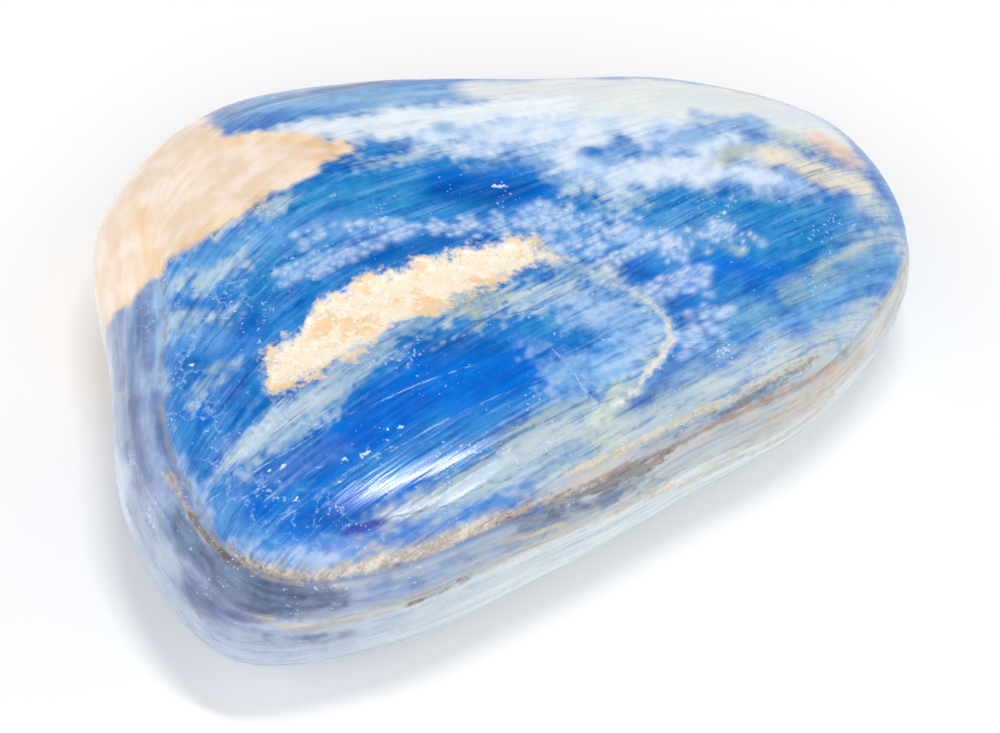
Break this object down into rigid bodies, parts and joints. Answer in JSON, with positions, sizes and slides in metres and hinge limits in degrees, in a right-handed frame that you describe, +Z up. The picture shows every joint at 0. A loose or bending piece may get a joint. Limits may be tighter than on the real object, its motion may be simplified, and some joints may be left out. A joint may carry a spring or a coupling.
{
  "type": "tumbled kyanite stone",
  "caption": "Polished pebble of blue bladed kyanite with a cream grain pocket, a peach quartz corner and thin beige seams round its flank, lying on its flat underside",
  "frame": {"origin": "centre of the bounding box in plan, on the flat underside", "axes": "+X along the length, from the broad end to the narrow end; +Y across, away from the picture's camera; +Z up through the thickness"},
  "size_m": [0.0304, 0.0242, 0.0096],
  "materials": {
    "kyanite": "polished"
  },
  "bodies": {
    "root": {"kyanite_stone": "kyanite"}
  },
  "joints": []
}
